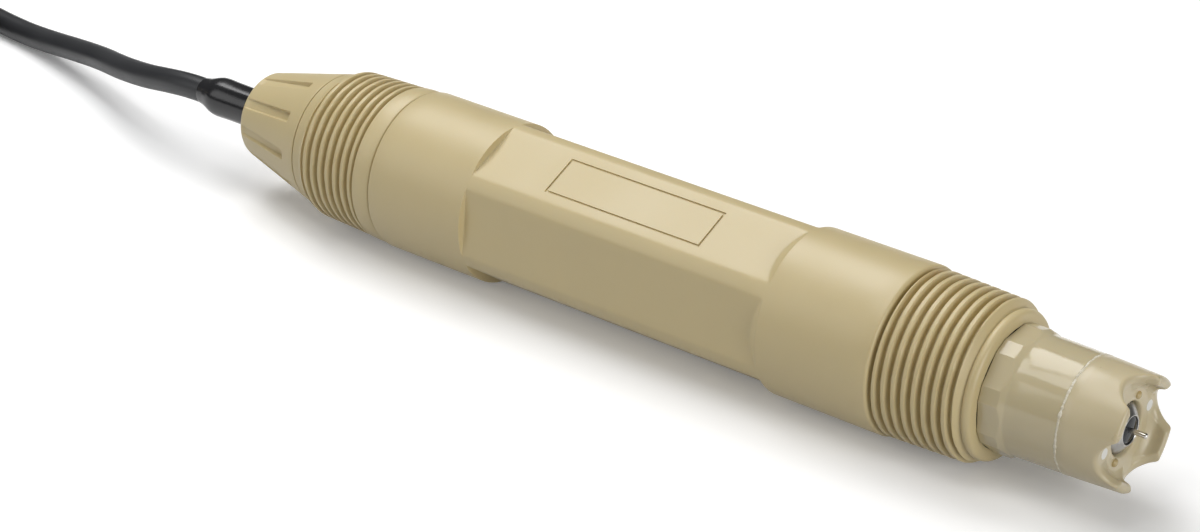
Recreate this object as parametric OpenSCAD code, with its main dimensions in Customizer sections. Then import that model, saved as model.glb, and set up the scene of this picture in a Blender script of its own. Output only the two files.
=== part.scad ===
// Process redox (ORP) sensor with a convertible body that has a pipe thread at each end.
// The sensor lies along X with its sensing tip towards +X, resting on its two round
// cylinders. The origin is on the floor under the middle of the body, and +Z is up.
// Lengths along the sensor are stations, counted from the tail end of the cap.

/* [Body] */
// Outer diameter of the round cylinders at both ends of the body
body_d = 35; // [33.8:0.1:40]
// Length of the cylinder behind the flats
rear_cylinder_l = 25.6; // [18:0.1:40]
// Length of the section with the wrench flats
flats_l = 74.35; // [60:0.05:110]
// Length of the cylinder in front of the flats
front_cylinder_l = 26.9; // [20:0.1:40]
// Distance between opposite flats of the hexagon, for an inch and a quarter wrench
hex_af = 31.8; // [31:0.1:33]
// Direction of the upper flat, from the horizontal +Y side up over the top
flat_angle = 114.5; // [90:0.5:150]
// Length of the sloping front ends of the flats
flat_run_out = 2.2; // [1:0.1:4]
// Rounding of the body's two outer edges
edge_r = 0.6; // [0.2:0.1:1]
// Radius of the long cavity for the electronics
cavity_r = 12; // [11:0.1:12.4]

/* [Panel] */
// Length of the engraved frame on the upper flat
panel_l = 39.3; // [20:0.1:55]
// Width of the engraved frame
panel_w = 9.9; // [6:0.1:13]
// Width of the frame's engraved line
panel_line = 0.6; // [0.3:0.1:1]
// Depth of the engraving
panel_depth = 0.35; // [0.2:0.05:0.8]

/* [Threads] */
// Pitch of both pipe threads, 11.5 turns to the inch
thread_pitch = 2.209; // [1.8:0.001:2.4]
// Depth of the threads
thread_depth = 1.3; // [0.8:0.05:1.5]
// Crest diameter of both threads at their small ends
thread_small_d = 33.1; // [32:0.1:33.4]
// Number of turns on the front thread
front_turns = 8; // [5:1:8]
// Number of turns on the rear thread
rear_turns = 7; // [4:1:7]
// Length of the front thread, from the body's groove to the nose ring
front_thread_l = 19.1; // [19:0.1:24]
// Width of the groove behind the front thread
groove_w = 0.9; // [0.5:0.1:1.4]

/* [Nose ring] */
// Length of the plain ring in front of the front thread
nose_ring_l = 2.3; // [1.6:0.1:3.5]
// Outer diameter of the nose ring
nose_ring_d = 30; // [28:0.1:30.6]

/* [Rear fitting] */
// Length of the plain ring behind the rear thread
rear_ring_l = 3.6; // [2:0.1:5]
// Diameter of the plain ring behind the rear thread
rear_ring_d = 30; // [28.5:0.1:31]
// Length of the plain collar against the body
collar_l = 5.2; // [3:0.1:8]
// Length of the spigot that enters the body
spigot_l = 12; // [10:0.1:16]
// Inner radius of the fitting
fitting_bore_r = 8.4; // [7:0.1:9]

/* [Tail cap] */
// Length of the slotted cap
cap_l = 21.2; // [16:0.1:28]
// Diameter of the cap at its tail end
cap_small_d = 19.4; // [17:0.1:21]
// Diameter of the cap at its seam
cap_large_d = 29.8; // [28:0.1:30]
// Number of grip slots round the cap
cap_slots = 10; // [6:1:12]
// Width of each grip slot
slot_w = 2.1; // [1:0.1:3]
// Direction of the first slot
slot_angle = 0; // [0:1:36]
// Depth of each grip slot
slot_depth = 0.7; // [0.3:0.05:1]

// Length of the cap's spigot in the rear fitting
cap_spigot_l = 5; // [3:0.5:6]
// Length of the resin in front of that spigot
resin_l = 24; // [15:1:26]

/* [Salt bridge] */
// Distance between opposite flats of the wrench section
wrench_af = 24.8; // [24:0.1:26]
// Diameter over the wrench section's cut corners
wrench_corner_d = 26; // [25.4:0.1:26.6]
// Length of the wrench section
wrench_l = 3.75; // [3:0.05:6]
// Length of the cone in front of the wrench section
cone_l = 1.6; // [1:0.1:3]
// Barrel diameter at the cone
barrel_d = 24.2; // [23.4:0.1:24.8]
// Length of the barrel from the cone to the weld
barrel_l = 11.1; // [8:0.1:18]
// Barrel diameter at the weld
weld_d = 23.8; // [23:0.1:24]
// Length of the tip from the weld to the ends of its lugs
tip_l = 12.1; // [11:0.1:16]
// Diameter of the tip at the lugs
tip_d = 22.8; // [22:0.1:23.4]
// Number of lugs round the tip
lugs = 4; // [3:1:4]
// Direction of the first lug, counted like that of the upper flat
lug_angle = 56.5; // [0:0.5:90]
// Radius of the scoops between the lugs
scoop_r = 5.3; // [4.4:0.1:5.6]
// Depth of the scoops, from the ends of the lugs
scoop_depth = 3.8; // [2.5:0.1:4.5]
// Diameter of the sensing recess at the ends of the lugs
recess_mouth_d = 20.6; // [19:0.1:21.4]
// Diameter of the recess's floor
recess_floor_d = 15.4; // [14:0.1:17]
// Pitch of the thread that holds the salt bridge
bridge_pitch = 1.5; // [1:0.1:2]
// Length of that thread
bridge_thread_l = 9.5; // [6:0.1:11]
// Outer radius of that thread
bridge_thread_r = 11; // [10.6:0.1:11.2]
// Wall of the salt bridge round its filling
bridge_wall = 2.2; // [1.6:0.1:2.6]
// Radius of the two porous junctions
junction_r = 1.1; // [0.7:0.05:1.4]
// Distance of the junctions from the axis
junction_reach = 8.2; // [7.8:0.1:8.5]

/* [Electrodes] */
// Outer radius of the metal ground ring at the tip
ring_r = 5.1; // [4.6:0.1:5.4]
// Inner radius of the ground ring
ring_bore_r = 2.8; // [2.4:0.1:3.2]
// Length of the ground ring's head
ring_head_l = 8; // [6:0.1:10]
// Radius of the glass stem
glass_r = 2.75; // [2:0.05:2.8]
// Height of the cone on the ground ring's face
ring_cone_l = 1.4; // [0.4:0.1:1.8]
// Radius of the platinum pin
pin_r = 0.55; // [0.3:0.05:0.8]
// Length of the platinum pin in front of the recess's floor
pin_l = 4.3; // [1:0.1:4.6]
// Radius of the reference electrode's glass
reference_r = 1.7; // [1.2:0.1:1.9]
// Distance of the reference electrode from the axis
reference_reach = 7; // [6.9:0.1:7.4]

/* [Electronics] */
// Length of the amplifier board
board_l = 62; // [45:1:70]
// Width of the board
board_w = 17; // [12:0.5:18]
// Thickness of the board
board_t = 1.6; // [0.8:0.1:2]

/* [Cable] */
// Diameter of the cable
cable_d = 5.8; // [5:0.1:6.4]
// Outer diameter of the shrunk sleeve
sleeve_d = 9; // [8.4:0.1:9.4]
// Length of the sleeve outside the cap
sleeve_l = 20; // [14:0.5:30]
// Radius at the middle of the hank's turns, round its ends
hank_r = 23.2; // [20:0.1:24]
// Length of the hank between the middles of its round ends
hank_l = 44; // [40:0.5:60]
// Turns beside each other in the hank
hank_columns = 3; // [2:1:3]
// Turns on each other in the hank
hank_rows = 4; // [2:1:5]

/* [Plug] */
// Outer radius of the plug's grip
grip_r = 8.3; // [8.1:0.1:9]
// Length of the grip
grip_l = 24; // [18:0.5:30]
// Outer radius of the coupling nut
nut_r = 7.9; // [7.6:0.1:8]
// Length of the coupling nut
nut_l = 13; // [10:0.5:16]
// Number of grooves round the nut
nut_grooves = 20; // [12:2:24]
// Length of the flexible boot
boot_l = 24; // [20:0.5:30]
// Number of contact pins
pins = 5; // [3:1:6]

/* [Clearances] */
// Clearance of parts that slide into one another and stay fixed
seat_gap = 0.05; // [0.02:0.01:0.15]
// Clearance between the salt bridge and what it turns in
turn_gap = 0.3; // [0.2:0.05:0.5]
// Running clearance of the coupling nut
run_gap = 0.06; // [0.03:0.01:0.1]

/* [Hidden] */
peek = [0.80, 0.74, 0.58];
bridge_peek = [0.77, 0.73, 0.58];
steel = [0.74, 0.74, 0.75];
black = [0.08, 0.08, 0.09];
rubber = [0.13, 0.13, 0.14];
ceramic = [0.93, 0.92, 0.88];
$fn = 96;
eps = 0.01;
far = 200;

// Stations of the seams and steps along the sensor
body_r = body_d / 2;
rear_thread_l = rear_turns * thread_pitch;
seam_s = cap_l;
body_s = seam_s + rear_ring_l + rear_thread_l + collar_l;
flats_s = body_s + rear_cylinder_l;
front_s = flats_s + flats_l;
thread_s = front_s + front_cylinder_l;
ring_s = thread_s + front_thread_l;
mouth_s = ring_s + nose_ring_l;
wrench_s = mouth_s + turn_gap;
cone_s = wrench_s + wrench_l;
barrel_s = cone_s + cone_l;
weld_s = barrel_s + barrel_l;
tip_s = weld_s + tip_l;
floor_s = tip_s - scoop_depth;
taper = 1 / 32;

// Stations and radii inside the body
spigot_r = cavity_r + 1.2;
resin_s = cap_l + cap_spigot_l + resin_l;
carrier_l = 10;
web_l = 4.6;
socket_s = wrench_s - bridge_thread_l - 1.2;
carrier_s = socket_s - web_l - carrier_l;
carrier_r = cavity_r - 1;
web_r = carrier_r - 1.6;
socket_r = bridge_thread_r + turn_gap;
seal_wire = 1.7;
seal_reach = bridge_thread_r + seal_wire / 2 + 0.1;
stem_r = ring_r - 1.1;
cell_l = 26;
cell_s = carrier_s - cell_l;
board_s = cell_s - board_l - 10;
head_s = floor_s - ring_head_l;
edge_s = floor_s - 0.6;
grommet_r = 6.6;
washer_t = 1.2;
washer_s = 17;
cap_land = 1.6;
bridge_spigot_l = 6;
cable_r = cable_d / 2;

// Round shapes that line up with the upper flat
board_angle = flat_angle - 90;

// Cable route from the sleeve's end to the hank, and from the hank to the plug on it
hank_x = -254;
hank_y = -4.6;
hank_w = hank_columns * cable_d;
hank_h = hank_rows * cable_d;
lead_in = [[-93.1, 0, 17.5], [-105, 0, 17.5], [-117, 0, 17.5], [-128, 0, 17.5],
    [-136, 0.1, 17.3], [-143, 0.6, 16.4], [-153, 2.4, 14.3], [-165, 6, 11.8],
    [-177, 10.4, 9.4], [-190, 14.2, 6.8], [-202, 17, 4.6], [-212, 18.9, 3.3],
    [-221, 20.2, 2.9], [-231, 21.6, 2.9], [-240, 23.1, 2.9], [-249, 24.2, 2.9],
    [-256, 24.4, 2.9]];
lead_out = [[-327, -4.6, 20.3], [-325.9, -12.4, 20.7], [-323.1, -19.1, 21.6],
    [-318.5, -24.9, 23.2], [-312.5, -28.7, 25.4], [-305.5, -30.6, 28], [-298, -31, 30.5],
    [-291.5, -31, 31.5], [-285, -31, 31.5]];
plug_x = lead_out[8][0] - 3;
plug_y = lead_out[8][1];
plug_z = hank_h + grip_r;

// Puts a shape that is drawn along +Z on the sensor's axis at a station
module at(s) {
    translate([s - tip_s / 2, 0, body_r]) rotate([90, 0, 90]) children();
}

// Puts a shape that is drawn along +Z on the plug's axis
module on_plug(s) {
    translate([plug_x + s, plug_y, plug_z]) rotate([90, 0, 90]) children();
}

// A round solid between two radii
module ring(outer, inner, l) {
    rotate_extrude() translate([inner, 0]) square([outer - inner, l]);
}

// A sealing ring of round wire
module o_ring(reach, wire) {
    rotate_extrude() translate([reach, 0]) circle(d = wire, $fn = 32);
}

// Half outline of a tapered thread: grooves between flat crests, smaller end first
function thread_points(z0, turns, r_small) = [for (i = [0:turns - 1], k = [0:3])
    let (z = i * thread_pitch + [0.1, 0.37, 0.63, 0.9][k] * thread_pitch,
        dip = (k == 1 || k == 2) ? thread_depth : 0)
    [r_small + z * taper - dip, z0 + z]];

// Flips an outline of stations end for end
function flipped(points, l) = [for (i = [len(points) - 1:-1:0]) [points[i][0], l - points[i][1]]];

// Round parts of the body, seen as a half outline along the axis
module body_outline() {
    crest_r = thread_small_d / 2;
    plain_l = front_thread_l - front_turns * thread_pitch - groove_w;
    front = thread_points(plain_l, front_turns, crest_r);
    thread_z = thread_s - body_s;
    difference() {
        union() {
            // Plain barrel, with its outer edges rounded
            offset(edge_r) offset(-edge_r) translate([-far, 0]) square([far + body_r, thread_z]);
            // Thread, run-out and nose ring
            translate([0, thread_z])
                polygon(concat([[0, -1], [crest_r - thread_depth, -1],
                    [crest_r - thread_depth, groove_w]],
                    flipped(front, front_thread_l),
                    [[crest_r + 0.1, front_thread_l - plain_l + 0.1],
                    [nose_ring_d / 2 + 0.2, front_thread_l - 0.1],
                    [nose_ring_d / 2, front_thread_l + 0.3],
                    [nose_ring_d / 2, mouth_s - thread_s - 0.5],
                    [nose_ring_d / 2 - 0.5, mouth_s - thread_s], [0, mouth_s - thread_s]]));
        }
        translate([-far, -far]) square([far, 2 * far]);
    }
}

// What the flats take off the barrel: all outside a hexagon, up to a cone at the front
module flat_cuts() {
    difference() {
        linear_extrude(flats_l + flat_run_out / 2) difference() {
            circle(r = far);
            rotate(flat_angle + 30) circle(r = hex_af / 2 / cos(30), $fn = 6);
        }
        translate([0, 0, flats_l - flat_run_out / 2])
            cylinder(r1 = hex_af / 2, r2 = body_r + eps, h = flat_run_out + eps);
    }
}

// Bores and recesses inside the body, from its rear face
module body_bores() {
    l = mouth_s - body_s;
    translate([0, 0, -eps]) cylinder(r = spigot_r + seat_gap, h = spigot_l + 0.5);
    cylinder(r = cavity_r, h = carrier_s - body_s);
    cylinder(r = carrier_r + seat_gap, h = carrier_s + carrier_l - body_s);
    cylinder(r = web_r + seat_gap, h = l - bridge_thread_l);
    translate([0, 0, socket_s - body_s]) cylinder(r = socket_r, h = l);
    translate([0, 0, l - seal_wire - 0.1]) cylinder(r = seal_reach + seal_wire / 2 + 0.2, h = far);
}

// Engraved frame on the upper flat
module panel_frame() {
    rotate(flat_angle) translate([hex_af / 2 - panel_depth, 0, 0]) difference() {
        translate([0, -panel_w / 2, -panel_l / 2]) cube([far, panel_w, panel_l]);
        translate([-1, panel_line - panel_w / 2, panel_line - panel_l / 2])
            cube([far, panel_w - 2 * panel_line, panel_l - 2 * panel_line]);
    }
}

// Moulded body: threaded front end, two cylinders, flats and the bores behind them
module body_shell() {
    color(peek) at(body_s) difference() {
        rotate_extrude() body_outline();
        translate([0, 0, flats_s - body_s]) flat_cuts();
        body_bores();
        translate([0, 0, (flats_s + front_s) / 2 - body_s]) panel_frame();
    }
}

// Threaded rear fitting with its collar and the spigot that is cemented into the body
module rear_fitting() {
    crest_r = thread_small_d / 2;
    l = body_s - seam_s;
    collar_z = l - collar_l;
    color(peek) at(seam_s) difference() {
        rotate_extrude() difference() {
            union() {
                polygon(concat([[0, 0], [rear_ring_d / 2 - 0.3, 0], [rear_ring_d / 2, 0.3],
                    [rear_ring_d / 2, rear_ring_l - 0.6], [crest_r - 0.6, rear_ring_l]],
                    thread_points(rear_ring_l, rear_turns, crest_r),
                    [[body_r - 0.6, collar_z + 0.6], [body_r - 0.35, collar_z + 1.2],
                    [body_r - 0.3, l - 0.3], [body_r - 0.6, l], [0, l]]));
                square([spigot_r, l + spigot_l]);
            }
            translate([-far, -far]) square([far, 2 * far]);
        }
        translate([0, 0, -eps]) cylinder(r = fitting_bore_r, h = far);
        translate([0, 0, -eps]) cylinder(r = fitting_bore_r + cap_land, h = cap_spigot_l + 2);
        translate([0, 0, l + spigot_l / 2]) ring(far, spigot_r - 1.2, 2.2);
    }
}

// Sealing ring in the spigot's groove
module rear_seal() {
    color(rubber) at(body_s + spigot_l / 2 + 0.15) ring(spigot_r, spigot_r - 1.15, 1.9);
}

// Slotted cap that closes the tail and presses the grommet on the cable
module tail_cap() {
    slope = (cap_large_d - cap_small_d) / 2 / cap_l;
    lean = atan(slope);
    color(peek) at(0) difference() {
        union() {
            rotate_extrude() polygon([[0, 0], [cap_small_d / 2 - 0.8, 0],
                [cap_small_d / 2 + 0.05, 0.9], [cap_large_d / 2, cap_l], [0, cap_l]]);
            translate([0, 0, cap_l - 1])
                cylinder(r = fitting_bore_r + cap_land - seat_gap, h = 1 + cap_spigot_l);
        }
        translate([0, 0, -eps]) cylinder(d = sleeve_d + 0.1, h = far);
        translate([0, 0, 5]) cylinder(r = grommet_r + seat_gap, h = far);
        for (i = [0:cap_slots - 1])
            rotate(i * 360 / cap_slots + slot_angle) rotate([0, lean, 0])
                translate([cap_small_d / 2 * cos(lean) - slot_depth, -slot_w / 2, -6])
                    cube([6, slot_w, 6 + cap_l * 0.8 / cos(lean)]);
    }
}

// Rubber grommet that seals the cable inside the cap
module cable_grommet() {
    color(rubber) at(5) rotate_extrude() polygon([[cable_r, 0], [grommet_r - 0.6, 0],
        [grommet_r, 1], [grommet_r, 12], [cable_r, 12]]);
}

// Steel washer between the grommet and the potting
module clamp_washer() {
    color(steel) at(washer_s) ring(grommet_r - 0.05, cable_r, washer_t);
}

// Cured resin round the wires in the rear fitting
module potting_plug() {
    neck_l = cap_l + cap_spigot_l - washer_s - washer_t;
    color([0.16, 0.15, 0.14]) at(washer_s + washer_t) union() {
        cylinder(r = grommet_r - 0.05, h = neck_l);
        translate([0, 0, neck_l]) cylinder(r = fitting_bore_r - 0.05, h = resin_l);
    }
}

// Bulkhead that carries the electrodes and parts the dry cavity from the tip
module electrode_carrier() {
    color(bridge_peek) at(carrier_s) difference() {
        union() {
            cylinder(r = carrier_r, h = carrier_l - seat_gap);
            cylinder(r = web_r, h = carrier_l + web_l);
        }
        translate([0, 0, -1]) cylinder(r = stem_r + seat_gap, h = far);
        for (side = [0, 180]) rotate(side) translate([reference_reach, 0, -1])
            cylinder(r = reference_r + seat_gap, h = far);
        translate([0, 0, 4]) ring(far, carrier_r - 1.2, 2.2);
    }
}

// Sealing ring round the carrier
module carrier_seal() {
    color(rubber) at(carrier_s + 4.15) ring(carrier_r, carrier_r - 1.15, 1.9);
}

// Glass-walled cell behind the carrier that holds the reference solution
module standard_cell() {
    color([0.75, 0.82, 0.84]) at(cell_s) difference() {
        cylinder(r = carrier_r - 0.2, h = cell_l);
        translate([0, 0, 1.5]) ring(carrier_r - 1.4, stem_r + 1.1, far);
        translate([0, 0, -1]) cylinder(r = stem_r + seat_gap, h = far);
        translate([reference_reach, 0, -1]) cylinder(r = reference_r + seat_gap, h = 4);
    }
}

// Reference electrode: a thin glass tube with a round bulb in the cell
module reference_electrode() {
    color([0.62, 0.7, 0.72]) at(cell_s - 4) translate([reference_reach, 0, 0]) union() {
        cylinder(r = reference_r, h = cell_l - 4);
        translate([0, 0, cell_l - 4]) sphere(r = reference_r, $fn = 32);
    }
}

// Porous plug through which the cell meets the salt bridge
module cell_junction() {
    color(ceramic) at(carrier_s) for (side = [0, 180]) rotate(side)
        translate([reference_reach, 0, 1]) cylinder(r = reference_r, h = carrier_l + web_l - 1);
}

// Metal ground ring: a sealing head at the tip on a long stem
module ground_ring() {
    color(steel) at(cell_s - 5) rotate_extrude() polygon([[ring_bore_r, 0], [stem_r, 0],
        [stem_r, head_s - cell_s + 5], [ring_r, head_s - cell_s + 5 + 1.1],
        [ring_r, edge_s - cell_s + 5], [ring_bore_r + 0.3, edge_s - cell_s + 5 + ring_cone_l],
        [ring_bore_r, edge_s - cell_s + 5 + ring_cone_l]]);
}

// Dark glass stem that carries the pin through the ground ring
module glass_stem() {
    color(black) at(cell_s - 8) difference() {
        union() {
            cylinder(r = glass_r, h = edge_s - cell_s + 8 + ring_cone_l - 0.1);
            translate([0, 0, edge_s - cell_s + 8 + ring_cone_l - 0.1])
                cylinder(r1 = glass_r, r2 = pin_r + 0.9, h = 0.3);
        }
        translate([0, 0, floor_s - cell_s - 2]) cylinder(r = pin_r, h = far);
        translate([0, 0, -1]) cylinder(r = 1.5, h = floor_s - cell_s - 3);
    }
}

// Platinum sensing pin with a rounded end
module platinum_pin() {
    color([0.85, 0.85, 0.86]) at(floor_s - 10) union() {
        cylinder(r = pin_r, h = 10 + pin_l - pin_r);
        translate([0, 0, 10 + pin_l - pin_r]) sphere(r = pin_r, $fn = 32);
    }
}

// Two sealing rings between the ground ring's head and the tip
module ring_seals() {
    color(rubber) for (s = [head_s + 2.5, head_s + 5.5]) at(s) ring(ring_r + 0.3, ring_r, 1);
}

// Temperature probe inside the glass stem
module temperature_sensor() {
    color([0.35, 0.5, 0.62]) at(floor_s - 12 - 9) union() {
        cylinder(r = 1.2, h = 8);
        for (y = [-0.6, 0.6]) translate([0, y, -24]) cylinder(r = 0.25, h = 24.5, $fn = 16);
    }
}

// Position along the board, from its rear edge
module on_board(s, side = 1) {
    at(board_s + s) rotate(board_angle) translate([0, side * board_t / 2, 0]) children();
}

// Fibreglass board with the preamplifier
module amplifier_board() {
    color([0.08, 0.33, 0.18]) on_board(0, 0)
        translate([-board_w / 2, -board_t / 2, 0]) cube([board_w, board_t, board_l]);
}

// Amplifier chips soldered on the board
module amplifier_chips() {
    color([0.1, 0.1, 0.11]) {
        for (s = [36, 48]) on_board(s) translate([-5, 0, 0]) cube([4.6, 1.6, 6]);
        on_board(40) translate([2.4, 0, 0]) cube([5, 1.6, 8]);
    }
}

// Round capacitors on the board
module board_capacitors() {
    color([0.12, 0.13, 0.3]) for (x = [-4, 0, 4]) on_board(8) translate([x, 0, 0])
        rotate([-90, 0, 0]) cylinder(r = 1.7, h = 5.6, $fn = 40);
}

// Folded metal can over the amplifier's input
module shield_can() {
    color(steel) on_board(38, -1) translate([-6.5, -4, 0]) difference() {
        cube([13, 4, 18]);
        translate([0.4, 0.4, 0.4]) cube([12.2, 4, 17.2]);
    }
}

// Insulated leads between the resin and the board, and between the board and the stem
module lead_wires() {
    color([0.55, 0.16, 0.14]) {
        for (k = [-2, -1, 0, 1, 2]) at(resin_s) rotate(board_angle)
            translate([k * 1.6, board_t / 2 + 0.6, 0])
                cylinder(r = 0.55, h = board_s - resin_s + 5, $fn = 24);
        for (k = [-1, 1]) at(board_s + board_l) rotate(board_angle)
            translate([k * 0.7, 0, 0]) cylinder(r = 0.45, h = 5, $fn = 24);
    }
}

// Sealing ring under the wrench section
module bridge_seal() {
    color(rubber) at(mouth_s - seal_wire / 2 + 0.05) o_ring(seal_reach + 0.05, seal_wire);
}

// Cross-section through the wrench section: eight flats with cut corners
module wrench_section() {
    intersection() {
        circle(d = wrench_corner_d);
        rotate(4.5 + 22.5) circle(r = wrench_af / 2 / cos(22.5), $fn = 8);
    }
}

// Rear half of the salt bridge: thread, wrench section and barrel, open towards the weld
module salt_bridge_barrel() {
    thread_s = wrench_s - bridge_thread_l;
    color(bridge_peek) at(thread_s) difference() {
        union() {
            cylinder(r = bridge_thread_r, h = bridge_thread_l + 1);
            translate([0, 0, -0.6])
                cylinder(r1 = bridge_thread_r - 0.8, r2 = bridge_thread_r, h = 0.8);
            translate([0, 0, bridge_thread_l]) linear_extrude(wrench_l) wrench_section();
            translate([0, 0, cone_s - thread_s - 0.2])
                cylinder(d1 = wrench_corner_d - 1.1, d2 = barrel_d, h = cone_l + 0.2);
            translate([0, 0, barrel_s - thread_s]) cylinder(d1 = barrel_d, d2 = weld_d, h = barrel_l);
        }
        translate([0, 0, -1]) cylinder(r = bridge_thread_r - bridge_wall, h = far);
        translate([0, 0, barrel_s - thread_s])
            cylinder(r1 = bridge_thread_r - bridge_wall, r2 = weld_d / 2 - bridge_wall,
                h = barrel_l - bridge_spigot_l - 1);
        translate([0, 0, weld_s - thread_s - bridge_spigot_l - 1 - eps])
            cylinder(d = weld_d - 2 * bridge_wall, h = far);
    }
}

// Front half of the salt bridge, welded on: cup with lugs, scoops and the sensing recess
module salt_bridge_tip() {
    edge_z = floor_s - weld_s;
    color(bridge_peek) at(weld_s) difference() {
        rotate_extrude() polygon([[ring_r + 2.2, -bridge_spigot_l],
            [weld_d / 2 - bridge_wall - 0.05, -bridge_spigot_l],
            [weld_d / 2 - bridge_wall - 0.05, 0.01], [weld_d / 2, 0.01],
            [weld_d / 2 + 0.25, 0.25], [weld_d / 2 - 0.05, 0.6],
            [tip_d / 2 + 0.15, tip_l - 2.2], [tip_d / 2 - 0.1, tip_l - 0.8],
            [tip_d / 2 - 0.55, tip_l - 0.15], [recess_mouth_d / 2 + 0.15, tip_l],
            [recess_mouth_d / 2 - 0.1, tip_l - 0.15],
            [recess_floor_d / 2 + 0.6, edge_z + 0.5], [recess_floor_d / 2, edge_z],
            [ring_r + 0.5, edge_z], [ring_r + 0.5, 2 - bridge_spigot_l],
            [ring_r + 2.2, 2 - bridge_spigot_l]]);
        rotate_extrude() polygon([[ring_r + 2.2, -far], [weld_d / 2 - bridge_wall - 1.6, -far],
            [weld_d / 2 - bridge_wall - 1.6, edge_z - 4], [ring_r + 2.2, edge_z - 4]]);
        for (i = [0:lugs - 1]) rotate(lug_angle + (i + 0.5) * 360 / lugs)
            translate([recess_floor_d / 2 - 1.2, 0, tip_l - scoop_depth + scoop_r])
                rotate([0, 90, 0]) cylinder(r = scoop_r, h = 10, $fn = 64);
        for (side = [0, 180]) rotate(lug_angle - 45 + side) translate([junction_reach, 0, 0])
            cylinder(r = junction_r + seat_gap, h = far);
    }
}

// Porous ceramic junctions in the recess
module porous_junctions() {
    color(ceramic) at(floor_s - 4.6) for (side = [0, 180]) rotate(lug_angle - 45 + side)
        translate([junction_reach, 0, 0]) cylinder(r = junction_r, h = 4.6 + 0.05);
}

// Shrunk sleeve over the cable where it enters the cap
module shrink_sleeve() {
    sr = sleeve_d / 2;
    color(black) at(-sleeve_l) rotate_extrude() polygon([[cable_r + 0.01, 0],
        [cable_r + 0.1, 0], [cable_r + 0.4, 1.5], [sr - 0.35, 4.2], [sr - 0.05, 5.2],
        [sr, 6.2], [sr - 0.1, 8.5], [sr - 0.1, sleeve_l + 4.9],
        [cable_r + 0.01, sleeve_l + 4.9]]);
}

// Points of a smooth curve through a list of points
function spline_point(p, i, t) = let (n = len(p) - 1,
    a = p[max(i - 1, 0)], b = p[i], c = p[min(i + 1, n)], e = p[min(i + 2, n)])
    0.5 * (2 * b + (c - a) * t + (2 * a - 5 * b + 4 * c - e) * t * t
        + (3 * b - a - 3 * c + e) * t * t * t);
function spline(p, k) = [for (i = [0:len(p) - 2], j = [0:k - 1]) spline_point(p, i, j / k),
    p[len(p) - 1]];
function unit(v) = v / norm(v);
function tangent(p, i) = unit(p[min(i + 1, len(p) - 1)] - p[max(i - 1, 0)]);

// A round tube swept along a list of points, with flat ends
module sweep(p, r, sides) {
    n = len(p);
    rings = [for (i = [0:n - 1]) let (t = tangent(p, i), u = unit(cross([0, 0, 1], t)), v = cross(t, u))
        for (k = [0:sides - 1]) p[i] + r * (cos(k * 360 / sides) * u + sin(k * 360 / sides) * v)];
    walls = [for (i = [0:n - 2], k = [0:sides - 1]) let (m = (k + 1) % sides)
        [i * sides + k, (i + 1) * sides + k, (i + 1) * sides + m, i * sides + m]];
    start = [for (k = [0:sides - 1]) k];
    end = [for (k = [sides - 1:-1:0]) (n - 1) * sides + k];
    polyhedron(concat([for (q = rings) q]), concat(walls, [start, end]), convexity = 4);
}

// Free cable: from the sleeve to the hank, and from the hank to the plug's boot
module cable_tube() {
    color(black) {
        sweep(spline(lead_in, 2), cable_r, 10);
        sweep(spline(lead_out, 2), cable_r, 10);
    }
}

// Outline with round ends at one distance from the hank's middle line
module hank_outline(r) {
    translate([-hank_l, -r]) square([hank_l, 2 * r]);
    for (x = [0, -hank_l])
        translate([x, 0]) circle(r = r);
}

// Outer shape of the wound cable
module cable_hank() {
    color(black) translate([hank_x, hank_y, 0]) linear_extrude(hank_h) difference() {
        hank_outline(hank_r + hank_w / 2);
        hank_outline(hank_r - hank_w / 2);
    }
}

// Ribbed flexible boot behind the plug
module plug_boot() {
    ribs = 5;
    color(rubber) on_plug(0) difference() {
        rotate_extrude() polygon(concat([[0, 0], [cable_r + 0.7, 0]],
            [for (i = [0:ribs - 1], k = [0:3]) let (z = 2 + (i + [0, 0.35, 0.5, 0.85][k]) * (boot_l - 6) / ribs,
                r = cable_r + 0.9 + z * 0.085) [k < 2 ? r + 0.5 : r - 0.2, z]],
            [[grip_r - 3.2, boot_l - 3], [grip_r - 3.2, boot_l], [0, boot_l]]));
        translate([0, 0, -1]) cylinder(r = cable_r + 0.02, h = far);
    }
}

// Moulded grip of the plug, with flutes for the fingers
module plug_grip() {
    color(black) on_plug(boot_l) difference() {
        rotate_extrude() polygon([[0, 0], [grip_r - 2.6, 0], [grip_r - 0.6, 2.4], [grip_r, 4],
            [grip_r, grip_l - 2], [grip_r - 0.8, grip_l], [nut_r - 2.2, grip_l],
            [nut_r - 2.2, grip_l + 2.5], [nut_r - 1.5 - run_gap, grip_l + 2.5],
            [nut_r - 1.5 - run_gap, grip_l + 5], [nut_r - 2.6, grip_l + 5],
            [nut_r - 2.6, grip_l + nut_l - 2], [0, grip_l + nut_l - 2]]);
        translate([0, 0, grip_l + 1]) cylinder(r = nut_r - 3.6, h = far);
        for (i = [0:5]) rotate(i * 60 + 30) translate([grip_r + 2.4, 0, 5]) cylinder(r = 3.2, h = grip_l - 9, $fn = 48);
    }
}

// Contact carrier inside the plug
module plug_insert() {
    color([0.2, 0.2, 0.22]) on_plug(boot_l + grip_l + 1) difference() {
        cylinder(r = nut_r - 3.65, h = nut_l - 7);
        translate([nut_r - 4.1, -0.6, nut_l - 10]) cube([3, 1.2, 10]);
        for (i = [0:pins - 1]) rotate(i * 360 / pins) translate([2.2, 0, 1]) cylinder(r = 0.5, h = far, $fn = 24);
    }
}

// Gilt contact pins
module plug_pins() {
    color([0.86, 0.68, 0.32]) on_plug(boot_l + grip_l + 2) for (i = [0:pins - 1])
        rotate(i * 360 / pins) translate([2.2, 0, 0]) cylinder(r = 0.5, h = nut_l - 5, $fn = 24);
}

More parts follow.
